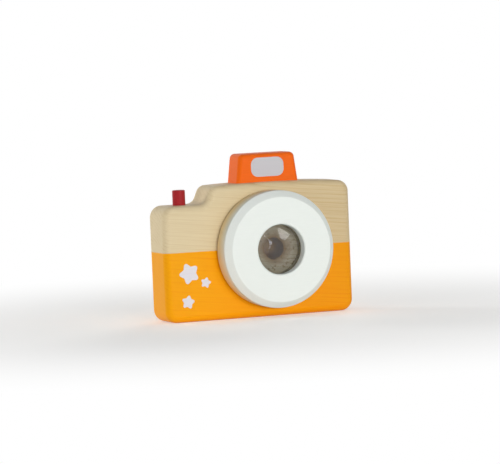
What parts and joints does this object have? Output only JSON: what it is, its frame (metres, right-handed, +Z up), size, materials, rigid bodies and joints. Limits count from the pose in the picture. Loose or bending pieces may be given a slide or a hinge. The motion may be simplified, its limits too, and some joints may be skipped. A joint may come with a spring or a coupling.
{
  "type": "toy camera",
  "caption": "Wooden toy camera: rounded block body with a turning white ring round a faceted clear lens, a sprung shutter button on a low shelf and a flash block on the crowned deck.",
  "frame": {"origin": "on the base plane, under the centre of the whole toy's box", "axes": "+X to the viewer's right across the width, +Y from front to back so that the lens faces -Y, +Z up"},
  "size_m": [0.126, 0.0466, 0.1022],
  "materials": {
    "body_wood": "sanded pale wood with satin lacquer, lower half stained orange",
    "flash_paint": "satin orange paint on wood",
    "plain_wood": "sanded pale wood with satin lacquer",
    "ring_paint": "satin white paint on turned wood",
    "clear_acrylic": "clear polished acrylic",
    "button_paint": "satin red paint on turned wood",
    "steel": "bright zinc plated steel",
    "washer_felt": "thin dark felt"
  },
  "bodies": {
    "camera": {"body_block": "body_wood", "flash_block": "flash_paint", "button_collar": "plain_wood", "button_spring": "steel", "eyepiece_disc": "plain_wood"},
    "lens": {"lens_ring": "ring_paint", "prism_lens": "clear_acrylic", "lens_tube": "plain_wood", "retaining_ring": "plain_wood", "retainer_screws": "steel", "front_washer": "washer_felt", "rear_washer": "washer_felt"},
    "button": {"shutter_button": "button_paint"}
  },
  "joints": [
    {"name": "lens_turn", "type": "hinge", "parent": "camera", "child": "lens", "pos_m": [0.0075, -0.00475, 0.0429], "axis": [0, -1, 0], "continuous": true},
    {"name": "button_press", "type": "slide", "parent": "camera", "child": "button", "axis": [0, 0, -1], "range_m": [0, 0.004], "stiffness_N_per_m": 300, "springref_m": -0.004, "deforming": ["button_spring"]}
  ]
}
